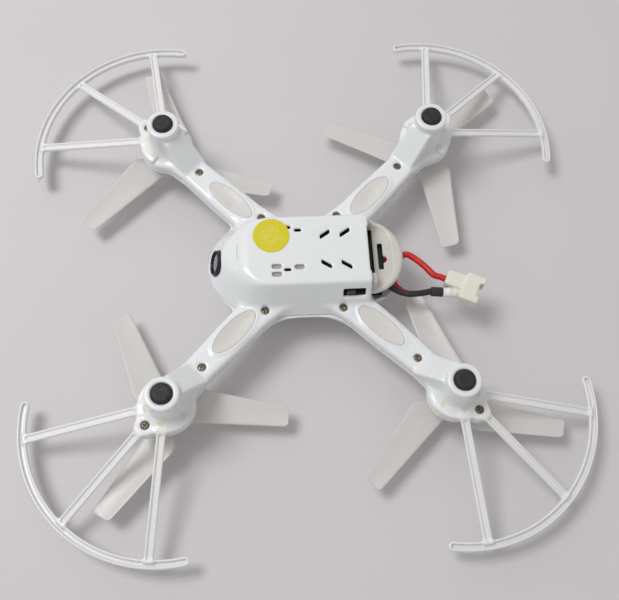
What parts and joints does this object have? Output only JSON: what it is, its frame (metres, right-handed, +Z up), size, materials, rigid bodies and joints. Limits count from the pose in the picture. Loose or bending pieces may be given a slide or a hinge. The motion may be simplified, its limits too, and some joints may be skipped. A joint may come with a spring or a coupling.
{
  "type": "mini palm drone",
  "caption": "Small palm-sized quadcopter: X arms, three-blade rotors with arc guards, motor pods on rubber feet, nose camera, oval arm lights, battery leads at the tail.",
  "frame": {"origin": "centre of the feet, on the plane that the four rubber feet rest on", "axes": "+Z up through the canopy, -Y towards the nose camera, +Y towards the tail, +X to the left side of the drone"},
  "size_m": [0.1394, 0.1378, 0.0246],
  "materials": {
    "shell_plastic": "glossy white ABS with a faint blue cast",
    "door_plastic": "warm white ABS",
    "guard_plastic": "glossy white flexible plastic",
    "propeller_plastic": "slightly translucent white plastic",
    "lens_milky": "milky translucent light cover",
    "foot_rubber": "soft black rubber",
    "motor_can_steel": "plain steel can",
    "shaft_steel": "ground steel",
    "motor_cap_black": "black plastic",
    "screw_steel": "darkened steel",
    "board_green": "green circuit board",
    "chip_black": "moulded chip packages",
    "antenna_grey": "thin insulated wire",
    "switch_steel": "stamped frame of the switch",
    "switch_black": "black knob",
    "camera_black": "black barrel",
    "camera_navy": "dark navy ring",
    "camera_glass": "dark coated lens",
    "led_cream": "cream light chip",
    "lead_red": "red insulation",
    "lead_black": "black insulation",
    "wire_blue": "blue insulation",
    "shrink_black": "shrink sleeve",
    "plug_plastic": "natural nylon",
    "contact_brass": "plated contacts",
    "cell_foil": "silver pouch foil",
    "label_yellow": "plain yellow paper label"
  },
  "bodies": {
    "airframe": {"bottom_shell": "shell_plastic", "top_shell": "shell_plastic", "main_board": "board_green", "board_chips": "chip_black", "antenna_wire": "antenna_grey", "switch_body": "switch_steel", "camera_board": "board_green", "camera_barrel": "camera_black", "camera_bezel": "camera_navy", "camera_glass": "camera_glass", "arm_lens_front_left": "lens_milky", "arm_lens_front_right": "lens_milky", "arm_lens_rear_left": "lens_milky", "arm_lens_rear_right": "lens_milky", "arm_leds": "led_cream", "motor_wires_red": "lead_red", "motor_wires_blue": "wire_blue", "motor_can_front_left": "motor_can_steel", "motor_can_front_right": "motor_can_steel", "motor_can_rear_left": "motor_can_steel", "motor_can_rear_right": "motor_can_steel", "motor_end_caps": "motor_cap_black", "guard_front_left": "guard_plastic", "guard_front_right": "guard_plastic", "guard_rear_left": "guard_plastic", "guard_rear_right": "guard_plastic", "foot_cap_front_left": "foot_rubber", "foot_cap_front_right": "foot_rubber", "foot_cap_rear_left": "foot_rubber", "foot_cap_rear_right": "foot_rubber", "guard_screws": "screw_steel", "arm_screws": "screw_steel", "body_screws": "screw_steel", "round_label": "label_yellow"},
    "switch_slider": {"switch_slider": "switch_black"},
    "battery_door": {"battery_door": "door_plastic"},
    "battery_pack": {"battery_cell": "cell_foil", "battery_board": "board_green", "red_lead": "lead_red", "black_lead": "lead_black", "heat_shrink": "shrink_black", "plug_housing": "plug_plastic", "plug_contacts": "contact_brass"},
    "propeller_front_left": {"propeller_front_left": "propeller_plastic", "motor_shaft_front_left": "shaft_steel"},
    "propeller_front_right": {"propeller_front_right": "propeller_plastic", "motor_shaft_front_right": "shaft_steel"},
    "propeller_rear_left": {"propeller_rear_left": "propeller_plastic", "motor_shaft_rear_left": "shaft_steel"},
    "propeller_rear_right": {"propeller_rear_right": "propeller_plastic", "motor_shaft_rear_right": "shaft_steel"}
  },
  "joints": [
    {"name": "rotor_front_left", "type": "hinge", "parent": "airframe", "child": "propeller_front_left", "pos_m": [0.0343, -0.0335, 0.019], "axis": [0, 0, 1], "continuous": true},
    {"name": "rotor_front_right", "type": "hinge", "parent": "airframe", "child": "propeller_front_right", "pos_m": [-0.0343, -0.0335, 0.019], "axis": [0, 0, 1], "continuous": true},
    {"name": "rotor_rear_left", "type": "hinge", "parent": "airframe", "child": "propeller_rear_left", "pos_m": [0.0343, 0.0335, 0.019], "axis": [0, 0, 1], "continuous": true},
    {"name": "rotor_rear_right", "type": "hinge", "parent": "airframe", "child": "propeller_rear_right", "pos_m": [-0.0343, 0.0335, 0.019], "axis": [0, 0, 1], "continuous": true},
    {"name": "power_switch", "type": "slide", "parent": "airframe", "child": "switch_slider", "axis": [0, 1, 0], "range_m": [0, 0.002]},
    {"name": "battery_door_slide", "type": "slide", "parent": "airframe", "child": "battery_door", "axis": [0, 1, 0], "range_m": [0, 0.009]},
    {"name": "battery_slide", "type": "slide", "parent": "airframe", "child": "battery_pack", "axis": [0, 1, 0], "range_m": [0, 0.03]}
  ]
}
